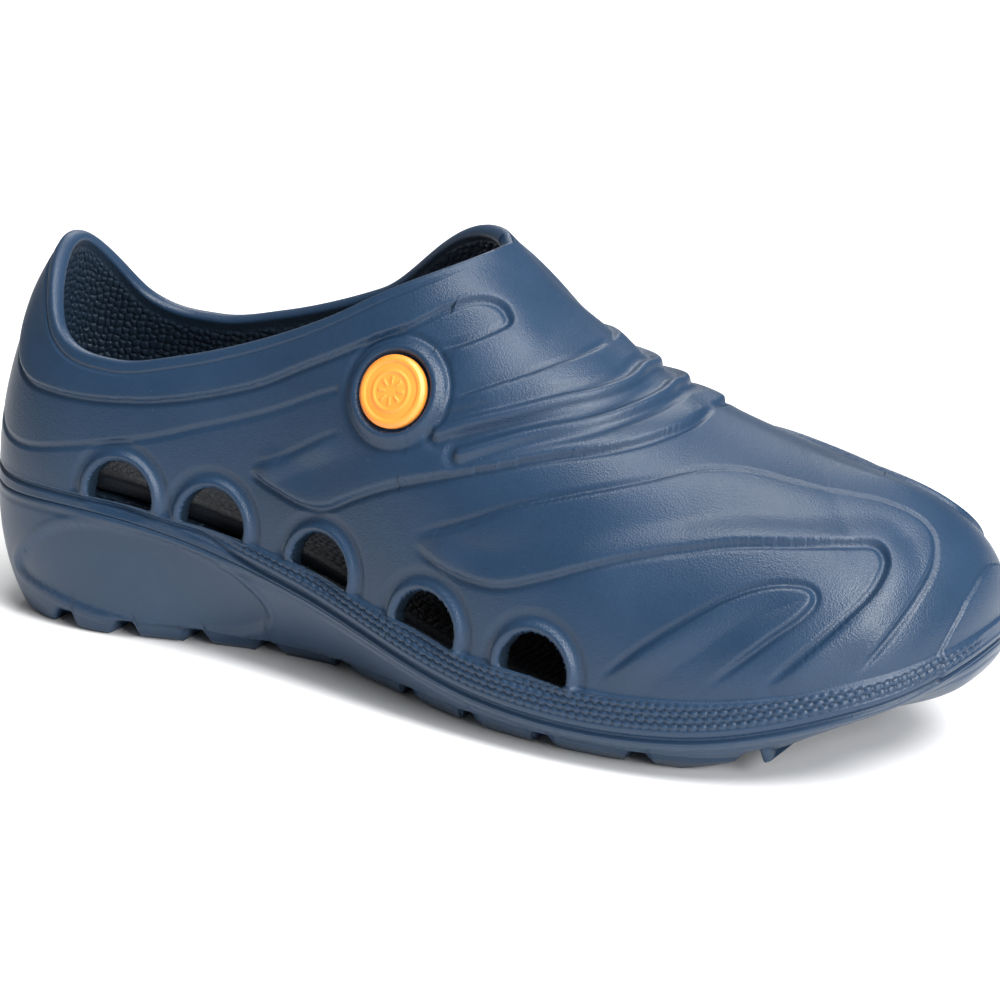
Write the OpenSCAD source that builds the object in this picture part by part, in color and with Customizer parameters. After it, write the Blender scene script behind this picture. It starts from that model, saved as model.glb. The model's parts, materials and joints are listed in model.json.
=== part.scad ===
// Garden clog, right foot: a moulded upper on a bonded lugged sole, a loose
// footbed, and a two-piece snap button through each side of the upper.
// Toe towards +X, outer (lateral) side towards -Y, ground at Z = 0.

/* [Overall size] */
// Overall length, heel back to toe tip
clog_l = 290; // [240:1:350]
// Overall width across the ball of the foot
ball_w = 107; // [88:1:130]
// Width of the heel block
heel_w = 75; // [62:1:90]

/* [Foot opening and toe cap] */
// Distance from the heel back to the front of the foot opening
instep_back = 151; // [135:1:177]
// Height of the collar at the heel
heel_h = 108; // [95:1:125]
// Lowest height of the collar, below the ankle
ankle_h = 77.5; // [70:0.5:90]
// Height of the collar at the instep
instep_h = 118; // [108:1:143]
// Height of the top of the toe cap
toe_cap_h = 72.5; // [64:1:85]
// Distance from the toe tip to the top of the toe cap
toe_cap_back = 33; // [28:1:40]

/* [Sole] */
// Height of the seam between sole and upper at the heel
heel_stack = 36; // [30:0.5:38]
// Height of the seam between sole and upper at the ball of the foot
ball_stack = 10.5; // [8.5:0.5:13]
// Height of the seam between sole and upper at the toe tip
toe_seam_h = 31; // [25:0.5:33]
// Rise of the tread at the toe tip
toe_spring = 13.5; // [10:0.5:16]
// Depth of the notches between the tread lugs
notch_depth = 4; // [2:0.25:5]
// Width of the notches between the tread lugs
notch_w = 8; // [5:0.5:10]

/* [Walls and footbed] */
// Wall thickness of the upper
wall_t = 4.5; // [3.5:0.25:5.5]
// Thickness of the upper's floor above the bonded seam
floor_t = 4; // [3:0.25:5]
// Height of the raised band round the sole's edge at the ball, above the seam
band_h = 12.5; // [10:0.5:15]
// Thickness of the loose footbed
footbed_t = 4.5; // [3:0.25:5.5]
// Gap between the edge of the footbed and the wall of the upper
footbed_gap = 1.8; // [1.2:0.1:2.4]

/* [Vents] */
// Width of a vent opening
vent_w = 20; // [14:0.5:24]
// Height of a vent opening
vent_h = 12; // [8:0.5:15]

/* [Snap buttons] */
// Diameter of the button cap
cap_d = 19.5; // [16:0.5:23.5]
// Thickness of the button cap
cap_t = 2.8; // [2:0.2:4]
// Depth of the recess that the cap sits in
recess_depth = 1.6; // [1:0.2:2]
// Radial gap between the cap and its recess
recess_gap = 0.8; // [0.4:0.1:1.2]
// Diameter of the button's stem
stem_d = 7; // [5:0.25:8.5]
// Radial running clearance of the stem in its bore
stem_fit = 0.05; // [0.02:0.01:0.1]
// Diameter of the inside socket that the stem snaps into
socket_d = 14; // [12:0.5:17]
// Thickness of the inside socket
socket_t = 2; // [1.6:0.2:3]

/* [Hidden] */

$fn = 64;
NAVY = [0.13, 0.22, 0.35];
NAVY_DARK = [0.10, 0.17, 0.28];
LINING = [0.10, 0.13, 0.18];
ORANGE = [1.00, 0.60, 0.22];

half_l = clog_l / 2;
half_ball = ball_w / 2;
half_heel = heel_w / 2;
// The foot's centre plane lies inwards of the middle of the width
centre_y = 0.072 * half_ball;

// Stations round the outline, closer together at the front of the foot
// opening, and steps up each section
STATIONS = 136;
APEX = STATIONS / 4;
TOE = STATIONS / 2;
CROWDING = 1.5;
OUTER_STEPS = 9;
INNER_STEPS = 7;
SOLE_STEPS = 3;
CAP_COLS = 6;

// Outline of the widest level, as guide points for a closed smooth curve:
// heel back, along the lateral side to the toe, back along the medial side
OUTLINE = [
    for (p = [[-1.000, 0.05], [-0.990, -0.79], [-0.768, -1.125], [-0.380, -0.96]])
        [p.x * half_l, p.y * half_heel],
    for (p = [[-0.031, -0.95], [0.334, -1.135], [0.664, -1.045], [0.935, -0.71],
              [1.032, 0.135], [0.937, 0.735], [0.688, 0.935], [0.293, 0.90],
              [-0.141, 0.675]])
        [p.x * half_l, p.y * half_ball],
    for (p = [[-0.517, 0.93], [-0.817, 0.89], [-1.005, 0.64]])
        [p.x * half_l, p.y * half_heel]
];

// Heights and offsets at eight even steps along a side, heel back to toe tip
SEAM_Z = [heel_stack + 5, heel_stack + 0.5, heel_stack, (heel_stack + ball_stack) / 2 + 2,
          ball_stack + 0.5, ball_stack, 0.45 * ball_stack + 0.55 * toe_seam_h, toe_seam_h];
GROUND_Z = [0, 0, 0, 0, 0, 0, 0.92 * toe_spring, toe_spring];
GROUND_TUCK = [14, 8, 5, 17, 11, 13, 20, 22];
BAND_H = [for (k = [0.68, 0.52, 0.4, 0.72, 1, 1, 0.8, 0.68]) k * band_h];
// Sag of the seam surface below its rim, inside the sole
SEAM_SAG = [0, 0, 0, 0, 0, 0, 4, 0];

// Top line of the upper, at eight even steps from heel to toe. Its first half
// passes over the foot opening, and only guides the lean of the ankle walls
instep_x = instep_back - half_l;
toe_cap_x = half_l - toe_cap_back;
heel_reach = instep_x + half_l;
toe_reach = toe_cap_x - instep_x;
rise = instep_h - toe_cap_h;
CREST_X = [for (k = [0.27, 0.36, 0.60, 0.86]) k * heel_reach - half_l,
           for (k = [0.18, 0.50, 0.80, 1]) instep_x + k * toe_reach];
CREST_Z = [for (k = [1.96, 1.70, 1.55, 1.36]) toe_cap_h + k * rise,
           for (k = [0.66, 0.29, 0.085, 0]) toe_cap_h + k * rise];
// How narrow each section is towards its top; 1 is a quarter ellipse
NARROWING = [3.3, 2.2, 1.8, 1.3, 1.05, 1.12, 1.1, 1.07];
FULLNESS = [0.9, 1.1, 1.15, 1.05, 1, 1, 0.97, 0.92];

// Side view of the opening's edge, at even steps from the heel to the instep
MOUTH_Z = [heel_h, for (k = [0.12, 0, 0.1, 0.27, 0.5, 0.79]) ankle_h + k * (instep_h - ankle_h)];
MOUTH_START = 0.035;

// ---- smooth curves ----

// Even steps, level at the start, and at the end too unless it is free
function spline(V, t, free = false) =
    let (n = len(V) - 1, s = min(max(t, 0), 1) * n, i = min(floor(s), n - 1), f = s - i,
         b = V[i], c = V[i + 1],
         m0 = i == 0 ? 0 : (c - V[i - 1]) / 2,
         m1 = i < n - 1 ? (V[i + 2] - b) / 2 : free ? c - b : 0)
    (2 * f ^ 3 - 3 * f ^ 2 + 1) * b + (f ^ 3 - 2 * f ^ 2 + f) * m0
    + (3 * f ^ 2 - 2 * f ^ 3) * c + (f ^ 3 - f ^ 2) * m1;

function loop_curve(P, u) =
    let (n = len(P), s = (u - floor(u)) * n, i = floor(s), f = s - i,
         a = P[(i + n - 1) % n], b = P[i % n], c = P[(i + 1) % n], d = P[(i + 2) % n])
    ((1 - f) ^ 3 * a + (3 * f ^ 3 - 6 * f ^ 2 + 4) * b
     + (-3 * f ^ 3 + 3 * f ^ 2 + 3 * f + 1) * c + f ^ 3 * d) / 6;

function unit(v) = v / norm(v);

// ---- the clog's surfaces ----

// u runs round the outline from the heel back, 0, past the toe tip, 0.5, to 1.
// Along a side it is counted from the heel back, 0, to the toe tip, 1
function along(u) = 2 * min(u, 1 - u);
function side(u) = u <= 0.5 ? -1 : 1;
INSTEP = 0.5;
function on_vamp(u) = along(u) >= INSTEP;

function outline(u) = loop_curve(OUTLINE, u);
// Unit vector from the outline towards the inside of the foot
function inward(u) = let (d = outline(u + 0.002) - outline(u - 0.002)) unit([-d.y, d.x]);
function inset(u, r, z) = let (p = outline(u) + r * inward(u)) [p.x, p.y, z];

// Where the outline of side s reaches x
function outline_u(x, s, lo = 0, hi = 0.5, steps = 20) =
    let (h = (lo + hi) / 2)
    steps == 0 ? (s < 0 ? h : 1 - h)
    : outline(s < 0 ? h : 1 - h).x < x ? outline_u(x, s, h, hi, steps - 1)
                                       : outline_u(x, s, lo, h, steps - 1);

function seam_z(u) = spline(SEAM_Z, along(u));
function band_z(u) = seam_z(u) + spline(BAND_H, along(u));
function seam_pt(u) = inset(u, 0, seam_z(u));
function ground_pt(u) =
    inset(u, spline(GROUND_TUCK, along(u)), max(0, spline(GROUND_Z, along(u))));

// Top line and its slope
function crest(w) = [spline(CREST_X, w), 0, spline(CREST_Z, w)];
function crest_dir(w) = unit(crest(min(w + 0.005, 1)) - crest(max(w - 0.005, 0)));
function crest_under(w) = let (d = crest_dir(w)) crest(w) - wall_t * [-d.z, 0, d.x];
function smooth_step(a, b, x) = let (k = min(max((x - a) / (b - a), 0), 1)) k * k * (3 - 2 * k);
// The slope shapes a section fully over the vamp, and fades out at the ankle
function crest_slope(w) = let (d = crest_dir(w)) d.z / d.x * smooth_step(0.3, 0.45, w);

// A section from its foot to the top line; a goes from 0 to 90 degrees
function section(u, foot, top, a) =
    let (w = along(u), h = 1 - max(cos(a), 0) ^ spline(NARROWING, w),
         v = sin(a) ^ spline(FULLNESS, w), d = top - foot)
    [foot.x + d.x * h, foot.y + d.y * h,
     foot.z + d.z * v + crest_slope(w) * d.x * (h - v)];

apex = crest(INSTEP);
apex_in = crest_under(INSTEP);
mouth_heel_x = MOUTH_START * heel_reach - half_l;
function mouth_z(x) =
    spline(concat(MOUTH_Z, [apex.z]), (x - mouth_heel_x) / (apex.x - mouth_heel_x), true);

// Angle at which a section reaches the edge of the opening, moved by m
function edge_angle(u, foot, top, m, lo = 0, hi = 90, steps = 22) =
    on_vamp(u) ? 90
    : steps == 0 ? (lo + hi) / 2
    : let (a = (lo + hi) / 2, p = section(u, foot, top, a))
      p.z < mouth_z(p.x - m.x) + m.z
          ? edge_angle(u, foot, top, m, a, hi, steps - 1)
          : edge_angle(u, foot, top, m, lo, a, steps - 1);

function outer_foot(u) = inset(u, 0.5, band_z(u));
function outer_edge(u) = edge_angle(u, outer_foot(u), crest(along(u)), [0, 0, 0]);
function outer_at(u, a) = section(u, outer_foot(u), crest(along(u)), a);

function floor_z(u) = seam_z(u) - spline(SEAM_SAG, along(u)) + floor_t;
function cavity_foot(u) = inset(u, wall_t + 0.5, floor_z(u));
// The rim's inner edge lies one wall inwards, and a little lower than the outer
function rim_shift(u) =
    let (k = smooth_step(0, INSTEP, along(u)), d = apex_in - apex) [d.x, 0, d.z * (0.3 + 0.7 * k)];
function inner_edge(u) =
    edge_angle(u, cavity_foot(u), crest_under(along(u)), rim_shift(u));
function inner_at(u, a) = section(u, cavity_foot(u), crest_under(along(u)), a);

// Rounded top of the rim, standing a little above both of its edges
rim_crown = 0.9;
function rim_pt(u, outer, inner) =
    let (s = min(along(u) / INSTEP, 1), e = unit([-0.9 * s ^ 3, 0, 1]))
    (outer + inner) / 2 + rim_crown * e;

// ---- closed solids from rings of points ----

function station(i) =
    let (q = 2 * min(i, STATIONS - i) / TOE - 1,
         w = INSTEP + 0.5 * sign(q) * abs(q) ^ CROWDING)
    i <= TOE ? w / 2 : 1 - w / 2;
U = [for (i = [0 : STATIONS - 1]) station(i)];
function vamp_station(i) = let (k = i % STATIONS) min(k, STATIONS - k) >= APEX;

// Rings share one vertex for both sides where they meet on the top line
function ring_id(r, i, joined) =
    let (k = i % STATIONS) r * STATIONS + (joined && vamp_station(k) ? min(k, STATIONS - k) : k);

function clean(t, up) = t[0] == t[1] || t[1] == t[2] || t[0] == t[2] ? []
    : up ? [[t[2], t[1], t[0]]] : [t];

// Cross rows between the two sides close a ring; the rows may sag
function cap_points(f, sag) =
    [for (i = [1 : TOE - 1])
        let (a = f(U[i]), b = f(U[STATIONS - i]))
        for (c = [1 : CAP_COLS - 1])
            let (t = c / CAP_COLS) a + t * (b - a) - [0, 0, 4 * t * (1 - t) * sag(U[i])]];
function cap_id(ring, base, i, c) =
    c == 0 || i == 0 || i == TOE ? ring * STATIONS + i
    : c == CAP_COLS ? ring * STATIONS + STATIONS - i
    : base + (i - 1) * (CAP_COLS - 1) + c - 1;
function cap_faces(ring, base, up) =
    [for (i = [0 : TOE - 1], c = [0 : CAP_COLS - 1])
        let (q = [cap_id(ring, base, i, c), cap_id(ring, base, i + 1, c),
                  cap_id(ring, base, i + 1, c + 1), cap_id(ring, base, i, c + 1)])
        each concat(clean([q[0], q[1], q[2]], up), clean([q[0], q[2], q[3]], up))];

// Faces between ring r and the next; on the vamp they may be left out
function strip_faces(r, joined_a = false, joined_b = false, skip_vamp = false, up = false) =
    [for (i = [0 : STATIONS - 1])
        if (!(skip_vamp && vamp_station(i) && vamp_station(i + 1)))
            let (a = ring_id(r, i, joined_a), b = ring_id(r, i + 1, joined_a),
                 c = ring_id(r + 1, i + 1, joined_b), d = ring_id(r + 1, i, joined_b))
            each concat(clean([a, d, c], up), clean([a, c, b], up))];

function seam_sag(u) = spline(SEAM_SAG, along(u));
function no_sag(u) = 0;

module placed() {
    translate([0, centre_y, 0]) children();
}

// ---- snap buttons ----

// Middle of a button on the outer face: how far along its side, and the angle
// up the section there
BUTTON_ALONG = [0.482, 0.488];
button_angle = 34;
function button_u(s) = s < 0 ? BUTTON_ALONG[0] / 2 : 1 - BUTTON_ALONG[1] / 2;
function button_at(s) = outer_at(button_u(s), button_angle);
// Its axis is square to the upper there
function button_axis(s) =
    let (u = button_u(s), e = 0.002,
         p = outer_at(u + e, button_angle) - outer_at(u - e, button_angle),
         q = outer_at(u, button_angle + 1) - outer_at(u, button_angle - 1))
    unit(cross(p, q));

// Puts its children on a button's axis, Z outwards, Z = 0 on the wall's face
module on_button(s) {
    n = button_axis(s);
    translate(button_at(s)) rotate([0, acos(n.z), atan2(n.y, n.x)]) children();
}
boss_d = cap_d + 8;
boss_proud = 1.2;
pad_d = socket_d + 3;
pad_depth = wall_t + 2.5;

// ---- pieces ----

module upper_solid() {
    rim = OUTER_STEPS + 1;
    last = rim + 1 + INNER_STEPS;
    edge_out = [for (u = U) outer_edge(u)];
    edge_in = [for (u = U) inner_edge(u)];
    all = [0 : STATIONS - 1];
    rings = concat(
        [for (u = U) seam_pt(u)],
        [for (k = [0 : OUTER_STEPS - 1], i = all)
            outer_at(U[i], edge_out[i] * k / (OUTER_STEPS - 1))],
        [for (i = all) rim_pt(U[i], outer_at(U[i], edge_out[i]), inner_at(U[i], edge_in[i]))],
        [for (k = [0 : INNER_STEPS], i = all) inner_at(U[i], edge_in[i] * (1 - k / INNER_STEPS))]
    );
    seam_base = (last + 1) * STATIONS;
    seam_cap = cap_points(function(u) seam_pt(u), function(u) seam_sag(u));
    floor_base = seam_base + len(seam_cap);
    floor_cap = cap_points(function(u) cavity_foot(u), function(u) no_sag(u));
    faces = concat(
        [for (r = [0 : last - 1])
            each strip_faces(r, r >= rim - 1 && r <= rim + 1, r + 1 >= rim - 1 && r + 1 <= rim + 1,
                             r == rim - 1 || r == rim)],
        cap_faces(0, seam_base, false),
        cap_faces(last, floor_base, true)
    );
    polyhedron(concat(rings, seam_cap, floor_cap), faces);
}

// A vent is a half-moon arch that stands on the band
module vent_shape() {
    r = vent_w / 2;
    intersection() {
        translate([0, vent_h - r]) circle(r);
        translate([-r, 0]) square([vent_w, vent_h]);
    }
}
// Middles of the vents, as shares of the half length, and their tilt
VENT_X = [-0.635, -0.435, -0.19, 0.055, 0.29];
VENT_TILT = [3, 6, 11, 12, 5];
vent_drop = 0.5;
module vents(s) {
    for (k = [0 : len(VENT_X) - 1]) {
        u = outline_u(VENT_X[k] * half_l, s);
        n = inward(u);
        translate(inset(u, 0, band_z(u) - vent_drop))
            rotate([90, 0, atan2(n.y, n.x) - 90]) rotate([0, 0, s * -VENT_TILT[k]])
                linear_extrude(2 * (wall_t + 5), center = true) vent_shape();
    }
}

module upper_shell() {
    bore_l = 2 * (pad_depth + recess_depth);
    color(NAVY) placed() difference() {
        union() {
            upper_solid();
            for (s = [-1, 1]) on_button(s) {
                translate([0, 0, -pad_depth / 2]) cylinder(d = boss_d, h = pad_depth / 2 + boss_proud);
                translate([0, 0, -pad_depth]) cylinder(d = pad_d, h = pad_depth);
            }
        }
        for (s = [-1, 1]) {
            vents(s);
            on_button(s) {
                translate([0, 0, boss_proud - recess_depth])
                    cylinder(d = cap_d + 2 * recess_gap, h = recess_depth + wall_t);
                cylinder(d = stem_d + 2 * stem_fit, h = bore_l + pad_depth, center = true);
            }
        }
    }
}

// Sole: the seam surface on top, a curved side wall, and a flat tread below
function sole_side(u, t) =
    let (a = seam_pt(u), c = ground_pt(u), b = [a.x, a.y, 0.35 * a.z + 0.65 * c.z])
    (1 - t) ^ 2 * a + 2 * (1 - t) * t * b + t ^ 2 * c;

module sole_solid() {
    rings = [for (k = [0 : SOLE_STEPS], u = U) sole_side(u, k / SOLE_STEPS)];
    top_cap = cap_points(function(u) seam_pt(u), function(u) seam_sag(u));
    tread_cap = cap_points(function(u) ground_pt(u), function(u) no_sag(u));
    faces = concat(
        [for (r = [0 : SOLE_STEPS - 1]) each strip_faces(r, up = true)],
        cap_faces(0, len(rings), true),
        cap_faces(SOLE_STEPS, len(rings) + len(top_cap), false)
    );
    polyhedron(concat(rings, top_cap, tread_cap), faces);
}

// Notches across the tread, as shares of the half length
NOTCH_X = [-0.77, -0.64, -0.50, -0.36, -0.19, -0.01, 0.14, 0.30, 0.48, 0.67];
module tread_notches() {
    notch_r = (notch_depth ^ 2 + (notch_w / 2) ^ 2) / (2 * notch_depth);
    for (x = NOTCH_X)
        translate([x * half_l, 0, notch_depth - notch_r])
            rotate([90, 0, 0]) cylinder(r = notch_r, h = 2 * ball_w, center = true);
}

module sole_unit() {
    color(NAVY_DARK) placed() difference() {
        sole_solid();
        tread_notches();
    }
}

// Loose footbed: follows the floor of the upper, with a gap all round
rest_gap = 0.4;
function footbed_pt(u, z) = inset(u, wall_t + 0.5 + footbed_gap, floor_z(u) + rest_gap + z);
module footbed() {
    rings = [for (z = [0, footbed_t], u = U) footbed_pt(u, z)];
    low_cap = cap_points(function(u) footbed_pt(u, 0), function(u) no_sag(u));
    top_cap = cap_points(function(u) footbed_pt(u, footbed_t), function(u) no_sag(u));
    faces = concat(
        strip_faces(0),
        cap_faces(0, len(rings), false),
        cap_faces(1, len(rings) + len(low_cap), true)
    );
    color(LINING) placed() polyhedron(concat(rings, low_cap, top_cap), faces);
}

// Cap: a domed disc on a stem with a snap bead; it lies in the boss recess
cap_lift = 0.05;
snap_h = 1.2;
snap_proud = 0.6;
grip_clear = 0.1;
module button_cap(s) {
    seat = boss_proud - recess_depth + cap_lift;
    stem_end = pad_depth + socket_t + grip_clear + snap_h;
    color(ORANGE) placed() on_button(s) rotate_extrude()
        polygon([[0, -stem_end], [stem_d / 2 - 0.6, -stem_end],
                 [stem_d / 2 + snap_proud, -stem_end + snap_h * 0.6],
                 [stem_d / 2, -stem_end + snap_h],
                 [stem_d / 2, seat], [cap_d / 2 - 0.3, seat], [cap_d / 2, seat + 0.3],
                 [cap_d / 2, seat + cap_t - 0.8], [cap_d / 2 - 0.8, seat + cap_t - 0.1],
                 [0, seat + cap_t]]);
}

// Socket: a washer that the stem's bead snaps behind, inside the clog
module button_socket(s) {
    color(ORANGE) placed() on_button(s) translate([0, 0, -pad_depth - socket_t - grip_clear / 2])
        difference() {
            cylinder(d = socket_d, h = socket_t);
            cylinder(d = stem_d + 2 * stem_fit, h = 3 * socket_t, center = true);
        }
}
module lateral_button_cap() { button_cap(-1); }
module lateral_button_socket() { button_socket(-1); }
module medial_button_cap() { button_cap(1); }
module medial_button_socket() { button_socket(1); }

upper_shell();
sole_unit();
footbed();
lateral_button_cap();
lateral_button_socket();
medial_button_cap();
medial_button_socket();
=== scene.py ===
"""Garden clog, right foot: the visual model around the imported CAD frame.

Toe towards +X, outer (lateral) side towards -Y. Shapes are worked out in
millimetres from the foot's centre plane, and moved into the frame, in metres,
when a mesh is made.
"""

import json
import math

import bmesh
import bpy
import numpy as np
from mathutils import Matrix, Vector


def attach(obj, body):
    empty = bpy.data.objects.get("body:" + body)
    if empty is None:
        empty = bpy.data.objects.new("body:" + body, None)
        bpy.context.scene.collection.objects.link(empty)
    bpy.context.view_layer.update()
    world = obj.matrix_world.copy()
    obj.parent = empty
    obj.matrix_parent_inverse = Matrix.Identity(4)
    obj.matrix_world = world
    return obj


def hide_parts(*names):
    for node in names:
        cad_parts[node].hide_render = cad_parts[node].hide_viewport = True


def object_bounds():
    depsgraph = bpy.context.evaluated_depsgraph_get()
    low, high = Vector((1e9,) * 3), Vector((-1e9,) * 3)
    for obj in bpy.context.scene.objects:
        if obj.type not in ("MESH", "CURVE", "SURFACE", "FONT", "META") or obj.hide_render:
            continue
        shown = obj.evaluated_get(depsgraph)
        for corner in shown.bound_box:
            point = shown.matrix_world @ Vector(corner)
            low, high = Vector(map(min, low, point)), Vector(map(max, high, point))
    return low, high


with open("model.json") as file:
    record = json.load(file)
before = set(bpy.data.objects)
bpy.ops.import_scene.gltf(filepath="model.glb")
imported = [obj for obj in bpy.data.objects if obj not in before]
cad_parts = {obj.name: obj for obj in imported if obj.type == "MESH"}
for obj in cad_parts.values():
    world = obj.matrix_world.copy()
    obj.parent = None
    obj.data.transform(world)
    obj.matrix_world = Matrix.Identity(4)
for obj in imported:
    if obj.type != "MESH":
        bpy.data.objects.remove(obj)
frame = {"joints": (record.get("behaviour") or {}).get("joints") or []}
cad_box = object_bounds()
joints = {j["name"]: j for j in frame["joints"]}

MM = 0.001
PI = math.pi

# ---- driving sizes, in millimetres, as in the CAD unless noted ----

CLOG_L = round((cad_box[1][0] - cad_box[0][0]) / MM)
BALL_W = round((cad_box[1][1] - cad_box[0][1]) / MM)
HEEL_W = 75.0
INSTEP_BACK = 151.0
HEEL_H = 108.0
ANKLE_H = 77.5
INSTEP_H = 118.0
TOE_CAP_H = 72.5
TOE_CAP_BACK = 33.0
HEEL_STACK = 36.0
BALL_STACK = 10.5
TOE_SEAM_H = 31.0
TOE_SPRING = 13.5
# 0.6 deeper than the CAD's
NOTCH_DEPTH = 4.6
WALL_T = 4.5
FLOOR_T = 4.0
BAND_FULL = 12.5
FOOTBED_T = 4.5
FOOTBED_GAP = 1.8
SKIN_INSET = 0.5
REST_GAP = 0.4
VENT_W = 20.0
VENT_H = 12.0
CAP_D = 19.5
CAP_T = 2.8
STEM_R = 3.5
BORE_R = 3.55
SNAP_FIT = 0.05
SOCKET_R = 7.0
SOCKET_T = 2.0
BOSS_D = CAP_D + 8
BOSS_PROUD = 1.2
RECESS_D = CAP_D + 1.6
RECESS_DEPTH = 1.6
PAD_D = 17.0
PAD_PROUD = 2.5

half_l, half_ball, half_heel = CLOG_L / 2, BALL_W / 2, HEEL_W / 2
centre_y = 0.072 * half_ball

OUTLINE = np.array(
    [(x * half_l, y * half_heel) for x, y in
     [(-1.000, 0.05), (-0.990, -0.79), (-0.768, -1.125), (-0.380, -0.96)]]
    + [(x * half_l, y * half_ball) for x, y in
       [(-0.031, -0.95), (0.334, -1.135), (0.664, -1.045), (0.935, -0.71), (1.032, 0.135),
        (0.937, 0.735), (0.688, 0.935), (0.293, 0.90), (-0.141, 0.675)]]
    + [(x * half_l, y * half_heel) for x, y in
       [(-0.517, 0.93), (-0.817, 0.89), (-1.005, 0.64)]])

# Heights and offsets at eight evenly spaced places along a side, heel back to toe tip
SEAM_Z = [HEEL_STACK + 5, HEEL_STACK + 0.5, HEEL_STACK, (HEEL_STACK + BALL_STACK) / 2 + 2,
          BALL_STACK + 0.5, BALL_STACK, 0.45 * BALL_STACK + 0.55 * TOE_SEAM_H, TOE_SEAM_H]
GROUND_Z = [0, 0, 0, 0, 0, 0, 0.92 * TOE_SPRING, TOE_SPRING]
GROUND_TUCK = [14, 8, 5, 17, 11, 13, 20, 22]
BAND_H = [k * BAND_FULL for k in (0.68, 0.52, 0.4, 0.72, 1, 1, 0.8, 0.68)]
SEAM_SAG = [0, 0, 0, 0, 0, 0, 4, 0]

instep_x = INSTEP_BACK - half_l
heel_reach = instep_x + half_l
toe_reach = half_l - TOE_CAP_BACK - instep_x
rise = INSTEP_H - TOE_CAP_H
CREST_X = ([k * heel_reach - half_l for k in (0.27, 0.36, 0.60, 0.86)]
           + [instep_x + k * toe_reach for k in (0.18, 0.50, 0.80, 1)])
CREST_Z = [TOE_CAP_H + k * rise for k in (1.96, 1.70, 1.55, 1.36, 0.66, 0.29, 0.085, 0)]
NARROWING = [3.3, 2.2, 1.8, 1.3, 1.05, 1.12, 1.1, 1.07]
FULLNESS = [0.9, 1.1, 1.15, 1.05, 1, 1, 0.97, 0.92]
MOUTH_Z = [HEEL_H] + [ANKLE_H + k * (INSTEP_H - ANKLE_H) for k in (0.12, 0, 0.1, 0.27, 0.5, 0.79)]
MOUTH_START = 0.035
INSTEP = 0.5

VENT_X = [-0.635, -0.435, -0.19, 0.055, 0.29]
VENT_TILT = [3, 6, 11, 12, 5]
VENT_DROP = 0.5
NOTCH_X = [-0.77, -0.64, -0.50, -0.36, -0.19, -0.01, 0.14, 0.30, 0.48, 0.67]


# ---- smooth curves and the clog's surfaces ----

def spline(values, t, free=False):
    """Even steps, level at the start, and at the end too unless it is free."""
    v = np.asarray(values, float)
    n = len(v) - 1
    s = np.clip(t, 0, 1) * n
    i = np.minimum(np.floor(s).astype(int), n - 1)
    f = s - i
    b, c = v[i], v[i + 1]
    m0 = np.where(i == 0, 0, (c - v[np.maximum(i - 1, 0)]) / 2)
    m1 = np.where(i < n - 1, (v[np.minimum(i + 2, n)] - b) / 2, (c - b) if free else 0 * b)
    return ((2 * f**3 - 3 * f**2 + 1) * b + (f**3 - 2 * f**2 + f) * m0
            + (3 * f**2 - 2 * f**3) * c + (f**3 - f**2) * m1)


def outline(u):
    """The widest level's outline; u runs from the heel back past the toe, 0.5, to 1."""
    n = len(OUTLINE)
    s = (u % 1.0) * n
    i = np.floor(s).astype(int)
    f = (s - i)[..., None]
    a, b, c, d = (OUTLINE[(i + k) % n] for k in (-1, 0, 1, 2))
    return ((1 - f)**3 * a + (3 * f**3 - 6 * f**2 + 4) * b
            + (-3 * f**3 + 3 * f**2 + 3 * f + 1) * c + f**3 * d) / 6


def unit(v):
    return v / np.maximum(np.linalg.norm(v, axis=-1, keepdims=True), 1e-12)


def along(u):
    """How far along its side u is: the heel back is 0, and the toe tip 1."""
    return 2 * np.minimum(u, 1 - u)


def smooth(a, b, x):
    k = np.clip((x - a) / (b - a), 0, 1)
    return k * k * (3 - 2 * k)


def bump(x):
    """A round bump: 1 at 0, and 0 from -1 and 1 outwards."""
    return np.maximum(1 - np.square(x), 0) ** 2


def inward(u):
    d = outline(u + 0.002) - outline(u - 0.002)
    return unit(np.stack([-d[..., 1], d[..., 0]], -1))


def inset(u, r, z):
    p = outline(u) + (np.asarray(r) + 0 * u)[..., None] * inward(u)
    return np.concatenate([p, (z + 0 * u)[..., None]], -1)


def seam_z(u):
    return spline(SEAM_Z, along(u))


def band_z(u):
    return seam_z(u) + spline(BAND_H, along(u))


def floor_z(u):
    return seam_z(u) - spline(SEAM_SAG, along(u)) + FLOOR_T


def crest(w):
    """The upper's top line."""
    return np.stack([spline(CREST_X, w), 0 * w, spline(CREST_Z, w)], -1)


def crest_slope(w):
    d = crest(np.minimum(w + 0.005, 1)) - crest(np.maximum(w - 0.005, 0))
    return d[..., 2] / d[..., 0] * smooth(0.3, 0.45, w)


def outer_at(u, a):
    """The upper's outer face: a section from the band's top to the top line."""
    w = along(u)
    foot = inset(u, SKIN_INSET, band_z(u))
    d = crest(w) - foot
    h = 1 - np.maximum(np.cos(a), 0) ** spline(NARROWING, w)
    v = np.sin(a) ** spline(FULLNESS, w)
    lean = crest_slope(w) * d[..., 0] * (h - v)
    return np.stack([foot[..., 0] + d[..., 0] * h, foot[..., 1] + d[..., 1] * h,
                     foot[..., 2] + d[..., 2] * v + lean], -1)


def outer_normal(u, a):
    """Unit normal of the outer face, outwards."""
    e, t = 1e-4, 1e-3
    across = outer_at(u + e, a) - outer_at(u - e, a)
    up = outer_at(u, np.minimum(a + t, PI / 2)) - outer_at(u, np.maximum(a - t, 1e-4))
    n = np.cross(across, up)
    n = np.where(np.linalg.norm(n, axis=-1, keepdims=True) < 1e-9, [0, 0, 1.0], n)
    return unit(n)


APEX_POINT = crest(np.array(INSTEP))


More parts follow.
